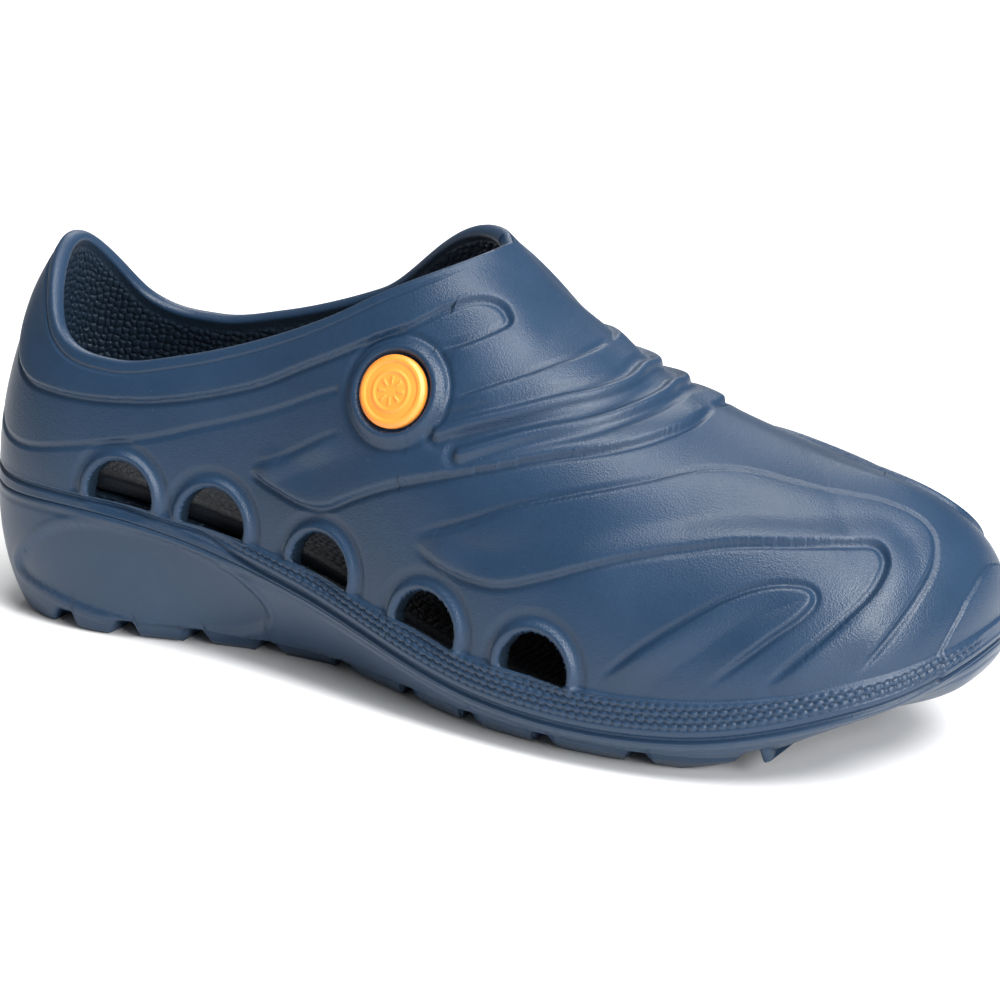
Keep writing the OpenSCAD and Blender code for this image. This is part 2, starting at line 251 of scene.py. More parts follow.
def mouth_z(x):
    """Height of the foot opening's edge in the side view."""
    start = MOUTH_START * heel_reach - half_l
    return spline(MOUTH_Z + [APEX_POINT[2]], (x - start) / (APEX_POINT[0] - start), True)


def outer_edge(u):
    """Angle at which a section reaches the edge of the foot opening."""
    lo, hi = 0 * u, 0 * u + PI / 2
    for _ in range(28):
        a = (lo + hi) / 2
        p = outer_at(u, a)
        below = p[..., 2] < mouth_z(p[..., 0])
        lo, hi = np.where(below, a, lo), np.where(below, hi, a)
    return np.where(along(u) >= INSTEP, PI / 2, (lo + hi) / 2)


def outline_u(x, s):
    """Where the outline of side s reaches x."""
    lo, hi = 0.0, 0.5
    for _ in range(30):
        h = (lo + hi) / 2
        short = outline(np.array(h if s < 0 else 1 - h))[0] < x
        lo, hi = (h, hi) if short else (lo, h)
    return h if s < 0 else 1 - h


# ---- meshes from grids of points ----

STATIONS = 4 * 380
HALF = STATIONS // 2
QUARTER = STATIONS // 4
CROWDING = 1.1
CROWDED = 0.06


def station_u():
    """Stations round the outline, closer together at the front of the opening."""
    i = np.arange(STATIONS)
    q = 2 * np.minimum(i, STATIONS - i) / HALF - 1
    pinch = q**2 * (1 + CROWDED**2) / (q**2 + CROWDED**2)
    w = INSTEP + 0.5 * np.sign(q) * np.abs(q) ** CROWDING * pinch
    return np.where(i <= HALF, w / 2, 1 - w / 2)


U = station_u()
W = along(U)
# The station on the other side at the same share of the length
TWIN = (STATIONS - np.arange(STATIONS)) % STATIONS
ON_VAMP = W >= INSTEP - 1e-9


class Shape:
    """Grids of points and their quads, welded into one mesh at the end."""

    def __init__(self):
        self.points = []
        self.quads = []
        self.slots = []
        self.count = 0

    def add(self, points):
        points = np.asarray(points, float)
        ids = self.count + np.arange(points[..., 0].size).reshape(points.shape[:-1])
        self.points.append(points.reshape(-1, 3))
        self.count += ids.size
        return ids

    def skin(self, ids, wrap=False, flip=False, keep=None, slot=0):
        """Quads over a grid of vertex numbers; keep says which cells are there."""
        a = np.concatenate([ids, ids[:1]]) if wrap else ids
        q = np.stack([a[:-1, :-1], a[1:, :-1], a[1:, 1:], a[:-1, 1:]], -1)
        q = q.reshape(-1, 4) if keep is None else q[keep]
        self.quads.append(q[:, ::-1] if flip else q)
        self.slots.append(np.full(len(q), slot))

    def mesh(self, name, weld=0.002):
        points = np.vstack(self.points)
        points[:, 1] += centre_y
        quads = np.vstack(self.quads)
        me = bpy.data.meshes.new(name)
        me.vertices.add(len(points))
        me.vertices.foreach_set("co", (points * MM).ravel())
        me.loops.add(quads.size)
        me.loops.foreach_set("vertex_index", quads.ravel())
        me.polygons.add(len(quads))
        me.polygons.foreach_set("loop_start", np.arange(0, quads.size, 4))
        me.polygons.foreach_set("material_index", np.concatenate(self.slots))
        me.update(calc_edges=True)
        bm = bmesh.new()
        bm.from_mesh(me)
        bmesh.ops.remove_doubles(bm, verts=bm.verts, dist=weld * MM)
        bmesh.ops.delete(bm, geom=[v for v in bm.verts if not v.link_faces], context="VERTS")
        bmesh.ops.recalc_face_normals(bm, faces=bm.faces)
        for f in bm.faces:
            f.smooth = True
        bm.to_mesh(me)
        bm.free()
        ob = bpy.data.objects.new(name, me)
        bpy.context.scene.collection.objects.link(ob)
        return ob


def cross_rows(ring, columns, sag=0.0):
    """Rows across a closed ring, from each station to its twin."""
    t = np.linspace(0, 1, columns + 1)[None, :, None]
    a, b = ring[:HALF + 1][:, None], ring[TWIN[:HALF + 1]][:, None]
    rows = a + t * (b - a)
    rows[..., 2] -= 4 * (t * (1 - t))[..., 0] * np.asarray(sag + 0 * W[:HALF + 1])[:, None]
    return rows


# ---- lines and panels moulded into the upper ----

def smooth_path(points, per_leg=24):
    """A smooth curve through given points."""
    p = np.array(points, float)
    p = np.vstack([2 * p[0] - p[1], p, 2 * p[-1] - p[-2]])
    out = []
    for k in range(1, len(p) - 2):
        t = np.linspace(0, 1, per_leg, endpoint=k == len(p) - 3)[:, None]
        m0, m1 = (p[k + 1] - p[k - 1]) / 2, (p[k + 2] - p[k]) / 2
        out.append((2 * t**3 - 3 * t**2 + 1) * p[k] + (t**3 - 2 * t**2 + t) * m0
                   + (3 * t**2 - 2 * t**3) * p[k + 1] + (t**3 - t**2) * m1)
    return np.vstack(out)


def chart_to_skin(path):
    """Points given as (percent of the way to the toe, degrees up the section)."""
    return outer_at(path[:, 0] / 200, np.radians(np.clip(path[:, 1], 0, 90)))


def distance(points, path, reach):
    """Distance from each point to a 3D path, with the path's nearest sample."""
    lo, hi = path.min(0) - reach, path.max(0) + reach
    near = np.all((points > lo) & (points < hi), axis=-1)
    d = np.full(points.shape[:-1], 1e3)
    which = np.zeros(points.shape[:-1], int)
    q = points[near]
    best, arg = np.full(len(q), 1e9), np.zeros(len(q), int)
    for start in range(0, len(q), 20000):
        part = q[start:start + 20000]
        dd = ((part[:, None] - path[None]) ** 2).sum(-1)
        arg[start:start + 20000] = dd.argmin(1)
        best[start:start + 20000] = dd.min(1)
    d[near] = np.sqrt(best)
    which[near] = arg
    return d, which


def side_of(chart, path, which):
    """Positive on the left of the path, seen with the toe to the right."""
    step = np.gradient(path, axis=0)[which]
    off = chart - path[which]
    return np.sign(step[..., 0] * off[..., 1] - step[..., 1] * off[..., 0])


class Relief:
    """Raised and sunken work on one side of the upper."""

    def __init__(self, points, chart):
        self.points = points
        self.chart = chart
        self.height = np.zeros(points.shape[:-1])

    def groove(self, path, width, depth):
        p = smooth_path(path)
        d, _ = distance(self.points, chart_to_skin(p), 2 * width + 1)
        self.height -= depth * bump(d / width)

    def rib(self, path, width, height):
        p = smooth_path(path)
        d, _ = distance(self.points, chart_to_skin(p), 3 * width + 1)
        self.height += height * bump(d / width) - 0.35 * height * bump((d - 1.35 * width) / width)

    def lip(self, path, height, fade, edge=0.9, left=True):
        """One side stands proud of the line, and runs out smoothly away from it."""
        p = smooth_path(path)
        d, which = distance(self.points, chart_to_skin(p), fade + 2)
        s = d * side_of(self.chart, p, which) * (1 if left else -1)
        ends = np.minimum(which, len(p) - 1 - which) / 24
        shape = smooth(-edge, edge, s) * (1 - smooth(edge, fade, s)) * smooth(0, 0.9, ends)
        self.height += height * shape
        self.height -= 0.45 * height * bump((s + 1.2 * edge) / (1.6 * edge)) * smooth(0, 0.6, ends)


COLLAR_LINE = [(0, 24), (8, 20), (16, 17), (21, 17), (26, 18), (31, 20.5), (36.5, 25), (40, 29.5),
               (44, 36), (47.5, 45.5), (49.5, 55), (51.3, 64), (52.8, 68), (53.9, 66.5),
               (53.4, 61), (51.8, 52), (49.9, 45)]
FAINT_LINE = [(3, 9), (10, 7), (18, 6), (24, 8.5), (30, 13), (34, 17), (39, 22), (43.6, 28)]
ARROW_TOP = [(38.2, 12.5), (40.5, 15), (43, 19), (45, 22.5)]
ARROW_LOW = [(38.2, 12.5), (40, 11), (42.5, 10), (44.5, 11), (46.5, 14.5), (50, 21.5), (53.4, 29),
             (59.8, 45), (64.7, 56), (68.2, 65), (71.4, 76), (73.6, 90)]
STRAP_LINE = [(51.8, 39), (54.8, 51), (57.7, 64), (60, 77), (61.2, 90)]
RIB_1 = [(52, 34), (56, 47), (59.7, 59.5), (62.5, 69), (64.6, 79), (65.4, 90)]
RIB_2 = [(54, 34), (58, 46.5), (62.8, 60), (66.2, 72), (68.2, 82), (69, 90)]
SWOOSH_TOP = [(51.5, 14), (55, 22), (58.5, 31), (62.5, 40), (68, 51), (72.5, 60), (77, 65),
              (82, 66), (87, 66), (91, 64), (93.7, 57), (94.3, 48), (92.6, 36), (90, 26),
              (87, 15), (84, 3)]
SWOOSH_LOW = [(51.5, 14), (54.5, 13.6), (58, 15.5), (61, 20.5), (64, 26.5), (67, 32), (71, 38),
              (75.5, 43), (81, 46), (86, 48), (88.3, 46.5), (88.6, 40), (87, 31.5), (84, 22),
              (80.5, 11), (77.6, 2)]
HOOK_LINE = [(66, 2), (69, 12), (72, 20.5), (75, 27.5), (78, 31.5), (80.6, 31.8), (81.3, 29),
             (80.2, 24), (77.5, 17), (73, 4)]


def mould_lines(points, chart):
    r = Relief(points, chart)
    r.lip(COLLAR_LINE, 1.1, 12)
    r.groove(FAINT_LINE, 1.6, 0.55)
    r.lip(ARROW_TOP, 0.8, 6, left=False)
    r.lip(ARROW_LOW, 1.4, 11)
    r.lip(STRAP_LINE, 1.1, 9, left=False)
    r.rib(RIB_1, 2.4, 1.6)
    r.rib(RIB_2, 2.4, 1.6)
    r.lip(SWOOSH_TOP, 1.2, 14, left=False)
    r.lip(SWOOSH_LOW, 1.2, 9, left=True)
    r.lip(HOOK_LINE, 1.4, 9, left=False)
    return r.height


# ---- cell patterns ----

def cell_noise(s, t, seed):
    """A repeatable random number from 0 to 1 for each whole (s, t)."""
    k = np.sin(s * 127.1 + t * 311.7 + seed * 74.7) * 43758.5453
    return k - np.floor(k)


def pebbles(s, t, size, seed=1.0):
    """Rounded pebbles of a given size: 1 at their middles and 0 in the cracks."""
    x, y = s / size, t / size
    ix, iy = np.floor(x), np.floor(y)
    first = np.full(x.shape, 9.0)
    second = np.full(x.shape, 9.0)
    for dx in (-1, 0, 1):
        for dy in (-1, 0, 1):
            cx, cy = ix + dx, iy + dy
            px = cx + 0.5 + 0.7 * (cell_noise(cx, cy, seed) - 0.5)
            py = cy + 0.5 + 0.7 * (cell_noise(cx, cy, seed + 5) - 0.5)
            d = np.hypot(x - px, y - py)
            second = np.minimum(second, np.maximum(first, d))
            first = np.minimum(first, d)
    return smooth(0, 0.45, second - first)


def scales(s, z, width, pitch):
    """Staggered rows of round scales."""
    row = np.floor(z / pitch)
    x = (s / width + 0.5 * (row % 2)) % 1.0 - 0.5
    y = z / pitch - row - 0.5
    return np.sqrt(np.maximum(1 - (2 * x) ** 2 * 0.9 - (2 * y) ** 2 * 0.8, 0))


# ---- the upper ----

BAND_ROWS = 42
SKIN_ROWS = 150
RIM_ROWS = 12
RIM_CROWN = 1.4
SEAM_LIP = 0.45
# The band's bead above its groove, and the scales on the rest of it
BEAD_AT = 3.4
BEAD_PROUD = 0.75
SCALE_W = 2.5
SCALE_PITCH = 1.75
SCALE_PROUD = 0.8
# The plain toe bumper's rear edge, as (percent of the way to the toe, degrees up)
BUMPER_EDGE = np.array([(91.8, 0), (93.1, 7), (95, 15), (97.6, 21.5), (100, 24)])
BUMPER_PROUD = 0.9
HEEL_RIDGES = (46.0, 50.5, 55.0)
# A vent's raised lip, the dish round it, the scoop below it, and its sill's fall
LIP_PROUD = 1.25
DISH_DEPTH = 0.5
SCOOP_DEPTH = 1.1
SILL_FALL = 2.2
LINING_PEBBLE = 2.3
LINING_GRAIN = 0.45
# A joint's point lies on the wall's own face
BUTTONS = {s: (Vector(joints[n]["pos_m"]) / MM - Vector((0, centre_y, 0)),
               Vector(joints[n]["axis"]).normalized())
           for s, n in ((-1, "lateral_button_spin"), (1, "medial_button_spin"))}


def arc_length(p, axis):
    step = np.linalg.norm(np.diff(p, axis=axis), axis=-1)
    zero = np.zeros_like(np.take(step, [0], axis=axis))
    return np.concatenate([zero, np.cumsum(step, axis=axis)], axis=axis)


def vent_frames():
    """Each vent's middle, and its sideways, upward and inward directions."""
    out = []
    for s in (-1, 1):
        for x, tilt in zip(VENT_X, VENT_TILT):
            u = np.array(outline_u(x * half_l, s))
            n = inward(u)
            middle = inset(u, 0, band_z(u) - VENT_DROP)
            # towards the toe, seen from outside; the arch leans with the band
            t = np.array([-n[1], n[0], 0.0])
            if t[0] < 0:
                t = -t
            a = math.radians(-tilt)
            up = np.array([0.0, 0.0, 1.0])
            out.append((middle, math.cos(a) * t + math.sin(a) * up,
                        -math.sin(a) * t + math.cos(a) * up, np.array([n[0], n[1], 0.0])))
    return out


def arch_distance(x, y):
    """Signed distance to the half-moon arch, and the way out of it."""
    r = VENT_W / 2
    cy = VENT_H - r
    rad = np.hypot(x, y - cy)
    round_d = rad - r
    out_of_circle = round_d > -y
    d = np.where(out_of_circle, round_d, -y)
    gx = np.where(out_of_circle, x / np.maximum(rad, 1e-6), 0.0)
    gy = np.where(out_of_circle, (y - cy) / np.maximum(rad, 1e-6), -1.0)
    return d, gx, gy


def cut_vents(points, apply):
    """Snaps the grid to the arches, and returns the cells that fall inside."""
    inside = np.zeros(points.shape[:-1], bool)
    on_line = np.zeros(points.shape[:-1], bool)
    for middle, tx, ty, n in vent_frames():
        off = points - middle
        near = (np.abs(off @ tx) < VENT_W) & (np.abs(off @ ty) < VENT_W) & (np.abs(off @ n) < 25)
        x, y = off @ tx, off @ ty
        d, gx, gy = arch_distance(x, y)
        d = np.where(near, d, 50.0)
        snap = np.zeros(d.shape, bool)
        for axis in (0, 1):
            other = np.roll(d, -1, axis=axis)
            crossing = (d * other < 0) & (np.abs(d) < 5) & (np.abs(other) < 5)
            mine = crossing & (np.abs(d) <= np.abs(other))
            theirs = crossing & ~mine
            snap |= mine | np.roll(theirs, 1, axis=axis)
        shift = -(gx[..., None] * tx + gy[..., None] * ty) * d[..., None]
        apply(snap, shift)
        inside |= (d < 0) & ~snap
        on_line |= snap
    return inside, on_line


def opening_angles():
    """Angle up each section at which the foot opening starts."""
    edge = outer_edge(U)
    # the opening's front is the same round on both sides, unlike the CAD's
    front = smooth(0.42, 0.495, W) * (np.arange(STATIONS) > HALF)
    return edge * (1 - front) + edge[TWIN] * front


def upper_grid():
    """Points of the outer face, their outward normals, and their angles up the section."""
    edge = opening_angles()
    q = np.linspace(0, 1, BAND_ROWS + 1)[:-1]
    z = seam_z(U)[:, None] + q * (band_z(U) - seam_z(U))[:, None]
    band = inset(np.repeat(U[:, None], BAND_ROWS, 1), SKIN_INSET * q[None, :], z)
    # lower rows take a smoothed edge angle, so that rows run evenly past the instep
    span = STATIONS // 20
    window = np.hanning(2 * span + 1)
    even = np.convolve(np.pad(edge, span, mode="wrap"), window / window.sum(), mode="valid")
    k = np.linspace(0, 1, SKIN_ROWS + 1)
    hold = smooth(0.45, 1, k)[None, :]
    angle = (even[:, None] * (1 - hold) + edge[:, None] * hold) * k
    stations = np.repeat(U[:, None], SKIN_ROWS + 1, 1)
    base = np.concatenate([band, outer_at(stations, angle)], 1)
    share_top_line(base)
    flat = np.concatenate([-inward(U), np.zeros((STATIONS, 1))], 1)
    n = np.concatenate([np.repeat(flat[:, None], BAND_ROWS, 1), outer_normal(stations, angle)], 1)
    n[:, -1] = unit(n[:, -1] + np.where(ON_VAMP[:, None], n[TWIN, -1], 0))
    return base, n, angle


def share_top_line(grid):
    """Gives both sides the lateral side's values where they meet on the top line."""
    joined = np.arange(HALF + 1, STATIONS)
    joined = joined[ON_VAMP[joined]]
    grid[joined, -1] = grid[TWIN[joined], -1]


def moulded_relief(base, chart, angle):
    """Moulded lines of the lateral side, and the same at the same angle on the other."""
    height = np.zeros(base.shape[:-1])
    height[:HALF + 1] = mould_lines(base[:HALF + 1], chart[:HALF + 1])
    for i in range(HALF + 1, STATIONS):
        height[i, BAND_ROWS:] = np.interp(angle[i], angle[TWIN[i]], height[TWIN[i], BAND_ROWS:])
    return height


def band_relief(base, along_outline):
    """A groove, a round bead above it, then scales up to a rounded ledge."""
    above = base[:, :BAND_ROWS, 2] - seam_z(U)[:, None]
    full = (band_z(U) - seam_z(U))[:, None]
    fore = smooth(0.335, 0.40, W)[:, None]
    before_toe = 1 - smooth(0.925, 0.955, W - 0.0022 * np.maximum(above[:, -1], 0))[:, None]
    groove_at = 0.62 * full * (1 - fore) + 1.6 * fore
    ledge = smooth(BEAD_AT, BEAD_AT + 1, above) * (1 - smooth(full - 1.0, full, above))
    zone = smooth(BEAD_AT + 1.0, BEAD_AT + 1.6, above) * (1 - smooth(full - 1.4, full - 0.9, above))
    cells = scales(along_outline[:, None], above - BEAD_AT - 1.1, SCALE_W, SCALE_PITCH) - 0.5
    height = -0.8 * bump((above - groove_at) / 1.1)
    height += fore * BEAD_PROUD * (bump((above - BEAD_AT) / 1.25) + ledge)
    return height + SCALE_PROUD * fore * before_toe * zone * cells


def toe_and_heel_relief(base, chart):
    """The plain bumper across the toe tip, and the ridges across the heel."""
    degrees = chart[..., 1]
    top = BUMPER_EDGE[-1, 1]
    limit = np.interp(degrees, BUMPER_EDGE[:, 1], BUMPER_EDGE[:, 0])
    limit = np.where(degrees > top, 200, limit)
    ahead = (chart[..., 0] - limit) * 3.6
    under_top = np.where(degrees > 0, (top - degrees) * 1.1, 9)
    lowest_rows = np.where(np.arange(base.shape[1]) < 10, 0.3, 1.0)
    height = BUMPER_PROUD * smooth(-0.5, 0.8, np.minimum(ahead, under_top)) * lowest_rows
    for z in HEEL_RIDGES:
        height += 0.6 * bump((base[..., 2] - z) / 1.5) * (1 - smooth(0.012, 0.035, W))[:, None]
    return height


def vent_relief(base):
    """A raised lip round each arch, and a scooped ledge under it."""
    height = np.zeros(base.shape[:-1])
    for middle, tx, ty, m in vent_frames():
        off = base - middle
        x, y = off @ tx, off @ ty
        near = (np.abs(off @ m) < 25) & (np.abs(x) < 30) & (np.abs(y) < 30)
        d, _, _ = arch_distance(x, y)
        over = smooth(-1.5, 1.5, y)
        lip = LIP_PROUD * bump((d - 1.3) / 1.6) * over
        dish = DISH_DEPTH * bump((d - 4.2) / 2.2) * over
        scoop = SCOOP_DEPTH * bump((y + 1.2) / 3.0) * bump(x / (VENT_W * 0.62))
        height += np.where(near, lip - dish - scoop, 0)
    return height


def add_buttons(base, height):
    """Flattens the relief into each button's boss; also returns the pad inside."""
    pad = np.zeros_like(height)
    for centre, axis in BUTTONS.values():
        off = base - np.array(centre)
        out = off @ np.array(axis)
        r = np.linalg.norm(off - out[..., None] * np.array(axis), axis=-1)
        near = np.abs(out) < 14
        inner = smooth(BOSS_D / 2 + 1.5, BOSS_D / 2 - 0.3, r)
        boss = BOSS_PROUD * smooth(BOSS_D / 2, BOSS_D / 2 - 1.6, r) - out
        boss += 0.25 * bump((r - (BOSS_D / 2 - 2.2)) / 1.4)
        boss -= (RECESS_DEPTH + 0.15) * smooth(RECESS_D / 2 + 0.35, RECESS_D / 2 - 0.35, r)
        height = np.where(near & (inner > 0), height * (1 - inner) + boss * inner, height)
        height -= np.where(near, 0.5 * bump((r - BOSS_D / 2 - 1.6) / 1.5), 0)
        pad += np.where(near, PAD_PROUD * smooth(PAD_D / 2 + 0.6, PAD_D / 2 - 0.6, r), 0)
    return height, pad


def lining(base, n, pad, along_outline, below_edge):
    """Inner face on the outer face's grid, with pebbles and the buttons' pads."""
    wall = base - n * WALL_T
    share = np.linspace(0, 1, BAND_ROWS + 1)[:-1]
    z = floor_z(U)[:, None] + share * (band_z(U) - floor_z(U))[:, None]
    wall[:, :BAND_ROWS] = inset(np.repeat(U[:, None], BAND_ROWS, 1), WALL_T + SKIN_INSET, z)
    up = arc_length(wall, 1)
    stones = pebbles(along_outline[:, None] + 0 * up, up, LINING_PEBBLE)
    depth = LINING_GRAIN * stones * smooth(2.2, 4.0, below_edge) - pad
    return wall - n * depth[..., None]


def rim_roll(outer, wall):
    """A round roll from the outer edge to the inner edge, all round the opening."""
    loop = np.concatenate([np.arange(QUARTER, 0, -1), np.arange(0, -QUARTER, -1)]) % STATIONS
    start, end = outer[loop, -1], wall[loop, -1]
    tangent = unit(np.roll(start, -1, 0) - np.roll(start, 1, 0))
    lift = unit(np.cross(tangent, unit(start - end)))
    if np.median(lift[:, 2]) < 0:
        lift = -lift
    theta = np.linspace(0, PI, RIM_ROWS + 1)[None, :, None]
    mid = (start + end)[:, None] / 2
    arm = (start - end)[:, None] / 2
    return mid + np.cos(theta) * arm + np.sin(theta) * RIM_CROWN * lift[:, None]


def drop_sills(base, wall):
    """Each sill falls away inwards."""
    for middle, tx, ty, m in vent_frames():
        off = base - middle
        x, y = off @ tx, off @ ty
        fall = np.where(y < 0, np.clip(1 + y / 6, 0, 1), np.clip(1 - y / 4, 0, 1))
        fall = fall * smooth(VENT_W / 2 + 3, VENT_W / 2 + 0.5, np.abs(x)) * (np.abs(off @ m) < 25)
        wall -= SILL_FALL * fall[..., None] * ty


def add_vent_walls(shape, gone, outer, wall, steps=4):
    """Walls through the vents, along every edge between a kept and a cut cell."""
    across = gone[:, 1:] != gone[:, :-1]
    i, j = np.nonzero(across)
    edges = [(i, j + 1, (i + 1) % STATIONS, j + 1)]
    i, j = np.nonzero(gone != np.roll(gone, 1, axis=0))
    edges.append((i, j, i, j + 1))
    t = np.linspace(0, 1, steps + 1)[None, :, None]
    for i, j, i2, j2 in edges:
        strip = shape.add(np.stack([outer[a, b][:, None] + t * (wall[a, b] - outer[a, b])[:, None]
                                    for a, b in ((i, j), (i2, j2))], 0))
        quads = np.stack([strip[0, :, :-1], strip[1, :, :-1], strip[1, :, 1:], strip[0, :, 1:]], -1)
        shape.quads.append(quads.reshape(-1, 4))
        # slot 1 is the lining's darker navy: painted shade on the vent walls
        shape.slots.append(np.ones(quads.size // 4, int))


def build_upper():
    base, n, angle = upper_grid()
    degrees = np.degrees(angle)
    degrees = np.concatenate([np.full((STATIONS, BAND_ROWS), -1.0), degrees], 1)
    chart = np.stack([np.repeat(100 * W[:, None], base.shape[1], 1), degrees], -1)
    along_outline = np.concatenate([np.zeros(1), np.cumsum(np.linalg.norm(
        np.diff(outline(U), axis=0), axis=1))])
    up = arc_length(base, 1)
    below_edge = np.where(ON_VAMP[:, None], np.linalg.norm(base - APEX_POINT, axis=-1),
                          up[:, -1:] - up)

    height = moulded_relief(base, chart, angle)
    # a fine groove under the rim, and room for the rim's own roll
    height -= 0.45 * bump((below_edge - 2.6) / 1.0) * (1 - smooth(0.47, 0.5, W))[:, None]
    height *= smooth(0, 1.5, below_edge)
    height[:, :BAND_ROWS] = band_relief(base, along_outline)
    height += toe_and_heel_relief(base, chart)
    # the seam's rounded lower edge
    above = base[:, :BAND_ROWS, 2] - seam_z(U)[:, None]
    height[:, :BAND_ROWS] -= SEAM_LIP * np.clip(1 - above / 0.8, 0, 1) ** 2
    height += vent_relief(base)
    height, pad = add_buttons(base, height)
    share_top_line(height)

    outer = base + n * height[..., None]
    wall = lining(base, n, pad, along_outline, below_edge)
    rim = rim_roll(outer, wall)

    def move(snap, shift):
        outer[snap] += shift[snap]
        wall[snap] += shift[snap]

    inside, on_line = cut_vents(base, move)
    drop_sills(base, wall)

    def cells(m):
        m = np.concatenate([m, m[:1]])
        return np.stack([m[:-1, :-1], m[1:, :-1], m[1:, 1:], m[:-1, 1:]], -1)

    gone = (cells(inside) | cells(on_line)).all(-1) & cells(inside).any(-1)
    shape = Shape()
    out_ids, in_ids = shape.add(outer), shape.add(wall)
    shape.skin(out_ids, wrap=True, keep=~gone)
    shape.skin(in_ids, wrap=True, flip=True, keep=~gone, slot=1)
    add_vent_walls(shape, gone, outer, wall)
    shape.skin(shape.add(rim), wrap=True)
    # the floor slab under the footbed, and the bonded face under it
    shape.skin(shape.add(cross_rows(wall[:, 0], 16)), slot=1)
    shape.skin(shape.add(cross_rows(outer[:, 0], 16, spline(SEAM_SAG, W[:HALF + 1]))), flip=True)
    return shape.mesh("upper")


# ---- the sole ----

SIDE_ROWS = 56
TREAD_COLUMNS = 72
CHANNEL_DEPTH = 2.2
SIPE_DEPTH = 1.2
PANEL_DEPTH = 1.0
# The sunken panel on the heel's side, as (x, height) points
OVAL = [(-128, 14), (-118, 26), (-104, 32), (-86, 32.5), (-70, 30), (-57, 25.5), (-48.5, 18),
        (-50, 11.5), (-60, 7), (-76, 5), (-94, 6), (-112, 9)]


def closed_path(points, per_leg=16):
    """A smooth closed curve through given points."""
    p = np.array(points, float)
    n = len(p)
    out = []
    for k in range(n):
        a, b, c, d = p[k - 1], p[k], p[(k + 1) % n], p[(k + 2) % n]
        t = np.linspace(0, 1, per_leg, endpoint=False)[:, None]
        out.append((2 * t**3 - 3 * t**2 + 1) * b + (t**3 - 2 * t**2 + t) * (c - a) / 2
                   + (3 * t**2 - 2 * t**3) * c + (t**3 - t**2) * (d - b) / 2)
    return np.vstack(out)


def inside_distance(x, y, poly):
    """Distance to a closed outline, positive inside it."""
    pts = np.stack([x, y], -1).reshape(-1, 2)
    near = np.all((pts > poly.min(0) - 6) & (pts < poly.max(0) + 6), axis=1)
    d = np.full(len(pts), -6.0)
    q = pts[near]
    best = np.full(len(q), 1e9)
    odd = np.zeros(len(q), bool)
    for k in range(len(poly)):
        a, b = poly[k - 1], poly[k]
        best = np.minimum(best, ((q - b) ** 2).sum(1))
        crosses = (a[1] > q[:, 1]) != (b[1] > q[:, 1])
        with np.errstate(divide="ignore", invalid="ignore"):
            at = a[0] + (q[:, 1] - a[1]) / (b[1] - a[1]) * (b[0] - a[0])
        odd ^= crosses & (q[:, 0] < at)
    d[near] = np.where(odd, 1, -1) * np.sqrt(best)
    return d.reshape(x.shape)


def notch_height(x, w):
    """Depth of the notches between the lugs, which end short of the toe."""
    h = 0 * x
    for c in NOTCH_X:
        d = x - c * half_l
        rear = smooth(4.4, 2.6, d)
        front = smooth(-5.2, -1.8, d)
        h = np.maximum(h, NOTCH_DEPTH * rear * front)
    return h * (1 - smooth(0.78, 0.84, w))


def sole_side(u, t):
    """The sole's side, from the seam, t = 0, to the tread, t = 1."""
    a = inset(u, 0, seam_z(u))
    c = inset(u, spline(GROUND_TUCK, along(u)), np.maximum(0, spline(GROUND_Z, along(u))))
    # bowed at the heel and toe, and between them straighter than the CAD's side
    w = along(u)[..., None]
    b = a + 0.5 * smooth(0.2, 0.33, w) * (1 - smooth(0.9, 0.97, w)) * (c - a)
    b[..., 2] = 0.35 * a[..., 2] + 0.65 * c[..., 2]
    t = t[..., None]
    return (1 - t)**2 * a + 2 * (1 - t) * t * b + t**2 * c


def side_end(tread):
    """Where each station's side ends: at the tread, or at the top of a notch."""
    lift = notch_height(tread[:, 0], W)
    lo, hi = np.full(STATIONS, 0.3), np.ones(STATIONS)
    for _ in range(30):
        t = (lo + hi) / 2
        high = sole_side(U, t)[:, 2] > tread[:, 2] + lift
        lo, hi = np.where(high, t, lo), np.where(high, hi, t)
    return np.where(lift > 0.01, (lo + hi) / 2, 1.0)


def side_relief(side):
    """Seam lip, groove, sunken heel panel, and the line above the lugs."""
    below = seam_z(U)[:, None] - side[..., 2]
    h = -SEAM_LIP * np.clip(1 - below / 0.8, 0, 1) ** 2
    h = h - 0.35 * bump((below - 2.6) / 0.9)
    away = inside_distance(side[..., 0], side[..., 2], closed_path(OVAL))
    h = h - PANEL_DEPTH * smooth(-1.2, 1.6, away) + 0.35 * bump((away + 2.0) / 1.6)
    # the lugs' own band stands back under the curved edge of the waist
    waist = smooth(0.26, 0.31, W) * (1 - smooth(0.42, 0.47, W))
    h = h - 1.6 * waist[:, None] * smooth(5.5, 4.5, side[..., 2])
    fore = smooth(0.42, 0.5, W) * (1 - smooth(0.88, 0.93, W))
    h = h - 0.8 * fore[:, None] * bump((side[..., 2] - 5.2) / 1.2)
    # soft edge where the side turns under the lugs
    return h - 0.7 * smooth(0.93, 1.0, np.linspace(0, 1, SIDE_ROWS + 1)[None, :]) ** 2


